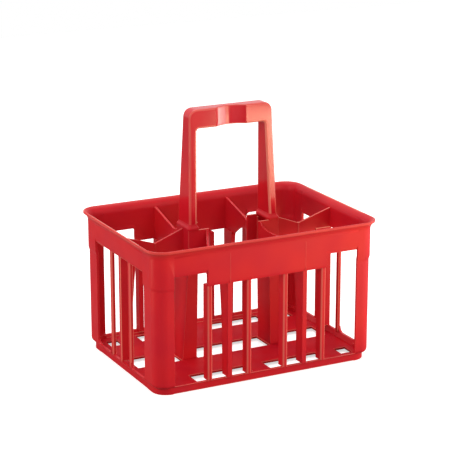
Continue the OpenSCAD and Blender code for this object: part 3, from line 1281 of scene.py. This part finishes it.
@dataclass(frozen=True)
class WitnessLine:
    """The faint raised line where a divider behind a long wall shows through.

    Attributes:
        wall_y: Distance of the wall's face from the middle.
        place_x: Distance of the divider from the middle.
        half: Half the width of the line.
        proud: How far it stands out.
        sunk: How far its foot lies in the wall.
        low: Height of its lower end.
        high: Height of its upper end.
        fade: Length over which it fades out at the top.
        faded: Share of its height that is left there.
        light: How far it takes the paler edge tone as a painted highlight, 0 to 1.
        facets: Facets across it.
        sharp: Angle in degrees above which its edges stay sharp.
    """

    wall_y: float = 103.5 * MM
    place_x: float = 49.5 * MM
    half: float = 0.45 * MM
    proud: float = 0.22 * MM
    sunk: float = 0.05 * MM
    low: float = 126.0 * MM
    high: float = 163.0 * MM
    fade: float = 5.0 * MM
    faded: float = 0.1
    light: float = 0.1
    facets: int = 6
    sharp: float = 60.0

    def build(self, material: bpy.types.Material) -> None:
        """Adds the four lines, two on each long wall.

        Args:
            material: Material of the basket.
        """
        for end in End:
            for side in Side:
                name = f"witness_line_{end.name.lower()}_{side.name.lower()}"
                mesh = self._mesh(name, side, end)
                add_piece(name, mesh, material, sharp_degrees=self.sharp)

    def _mesh(self, name: str, side: Side, end: End) -> bpy.types.Mesh:
        """Draws one line.

        Args:
            name: Name of the mesh.
            side: Which divider.
            end: Which long wall.

        Returns:
            The mesh.
        """
        bm = bmesh.new()
        loops = []
        for z, share in ((self.low, 1.0), (self.high - self.fade, 1.0), (self.high, self.faded)):
            ring = []
            for i in range(self.facets + 1):
                angle = math.pi * i / self.facets
                x = side.value * self.place_x + self.half * math.cos(angle)
                out = self.proud * share * math.sin(angle) - self.sunk
                ring.append(bm.verts.new((x, end.value * (self.wall_y + out), z)))
            loops.append(ring)
        loft(bm, loops)
        bmesh.ops.recalc_face_normals(bm, faces=bm.faces[:])
        # Painted highlight: the whole line takes a little of the paler edge tone
        layer = bm.faces.layers.float.new(EDGE_LAYER)
        for face in bm.faces:
            face[layer] = self.light
        return as_mesh(bm, name)


@dataclass(frozen=True)
class Studio:
    """Floor, lamps, world and camera.

    Attributes:
        fill: Strength of the even light from all round.
        floor_half: Half the width of the floor.
        paper: Grey of the floor as the camera sees it.
        paper_around: Darker grey for all other rays, so that the floor throws
            less light up at the basket.
        paper_lift: What is added for the camera, so that the floor clears to
            white but keeps the shadow.
    """

    fill: float = 0.66
    floor_half: float = 2.2
    paper: float = 0.8
    paper_around: float = 0.27
    paper_lift: float = 0.62

    def build(self, camera: CameraPlace) -> None:
        """Makes everything around the object.

        Args:
            camera: Camera place.
        """
        self._world()
        self._floor()
        for lamp in LAMPS:
            self._add_lamp(lamp)
        self._add_camera(camera)
        bpy.context.scene.view_settings.view_transform = "Standard"

    def _world(self) -> None:
        """White to the camera and in reflections, a soft even fill to the object."""
        world = bpy.data.worlds.new("studio_world")
        bpy.context.scene.world = world
        world.use_nodes = True
        g = Graph(world.node_tree)
        path = g.add("ShaderNodeLightPath")
        mirrored = g.add(
            "ShaderNodeMath",
            {0: path.outputs["Is Glossy Ray"], 1: path.outputs["Is Transmission Ray"]},
            operation="MAXIMUM",
        )
        shown = g.add(
            "ShaderNodeMath",
            {0: path.outputs["Is Camera Ray"], 1: mirrored.outputs[0]},
            operation="MAXIMUM",
        )
        white = g.add("ShaderNodeBackground", {"Color": WHITE, "Strength": 1.0})
        fill = g.add("ShaderNodeBackground", {"Color": WHITE, "Strength": self.fill})
        mix = g.add(
            "ShaderNodeMixShader",
            {0: shown.outputs[0], 1: fill.outputs[0], 2: white.outputs[0]},
        )
        g.add("ShaderNodeOutputWorld", {"Surface": mix.outputs[0]})

    def _floor(self) -> None:
        """A pale floor that keeps the object's shadow and clears to white around it."""
        bm = bmesh.new()
        half = self.floor_half
        signs = ((-1, -1), (1, -1), (1, 1), (-1, 1))
        bm.faces.new([bm.verts.new((x * half, y * half, 0)) for x, y in signs])
        mesh = as_mesh(bm, "studio_floor")
        floor = bpy.data.objects.new("studio_floor", mesh)
        bpy.context.scene.collection.objects.link(floor)
        mesh.materials.append(self._paper())
        floor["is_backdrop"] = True

    def _paper(self) -> bpy.types.Material:
        """Makes the matt paper of the floor.

        Returns:
            The material.
        """
        material = bpy.data.materials.new("studio_paper")
        material.use_nodes = True
        g = Graph(material.node_tree)
        to_camera = g.add("ShaderNodeLightPath").outputs["Is Camera Ray"]
        seen = g.add("ShaderNodeBsdfDiffuse", {"Color": (*[self.paper] * 3, 1)})
        around = g.add("ShaderNodeBsdfDiffuse", {"Color": (*[self.paper_around] * 3, 1)})
        paper = g.add(
            "ShaderNodeMixShader", {0: to_camera, 1: around.outputs[0], 2: seen.outputs[0]}
        )
        lift = g.add(
            "ShaderNodeMath", {0: to_camera, 1: self.paper_lift}, operation="MULTIPLY"
        )
        glow = g.add("ShaderNodeEmission", {"Color": WHITE, "Strength": lift.outputs[0]})
        lit = g.add("ShaderNodeAddShader", {0: paper.outputs[0], 1: glow.outputs[0]})
        g.add("ShaderNodeOutputMaterial", {"Surface": lit.outputs[0]})
        return material

    @staticmethod
    def _add_lamp(lamp: Lamp) -> None:
        """Adds a lamp, which the camera itself doesn't see.

        Args:
            lamp: Lamp to add.
        """
        data = bpy.data.lights.new(lamp.name, "AREA")
        data.shape = lamp.shape.value
        data.size, data.size_y = lamp.size
        data.energy = lamp.power
        data.color = srgb(lamp.colour)[:3]
        item = bpy.data.objects.new(lamp.name, data)
        item.location = lamp.place
        aim = Vector(lamp.target) - Vector(lamp.place)
        item.rotation_mode = "QUATERNION"
        item.rotation_quaternion = aim.to_track_quat("-Z", "Y")
        item.visible_camera = False
        bpy.context.scene.collection.objects.link(item)

    @staticmethod
    def _add_camera(place: CameraPlace) -> None:
        """Puts the camera at the photograph's viewing angle.

        Args:
            place: Camera place.
        """
        data = bpy.data.cameras.new("camera")
        data.lens = place.lens_mm
        data.sensor_width = place.sensor_mm
        camera = bpy.data.objects.new("camera", data)
        azimuth, elevation = math.radians(place.azimuth), math.radians(place.elevation)
        back = Vector(
            (
                math.sin(azimuth) * math.cos(elevation),
                -math.cos(azimuth) * math.cos(elevation),
                math.sin(elevation),
            )
        )
        camera.location = place.location
        camera.rotation_mode = "QUATERNION"
        camera.rotation_quaternion = (-back).to_track_quat("-Z", "Y")
        bpy.context.scene.collection.objects.link(camera)
        bpy.context.scene.camera = camera


def corners() -> list[list[float]]:
    """Reads the object's box.

    Returns:
        Lowest and highest corner as plain lists.
    """
    low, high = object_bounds()
    return [list(low), list(high)]


def main() -> None:
    """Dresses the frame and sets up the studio."""
    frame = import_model()
    basket = PlasticMaterial(BASKET_FINISH).build()
    floor = PlasticMaterial(FLOOR_FINISH).build()
    handle = PlasticMaterial(HANDLE_FINISH).build()
    Basket(frame["nodes"], Solidity(frame["nodes"])).build(basket, floor)
    Handle().build(handle, basket)
    WitnessLine().build(basket)
    Studio().build(CameraPlace())


if __name__ == "__main__":
    logging.basicConfig(level=logging.INFO)
    main()
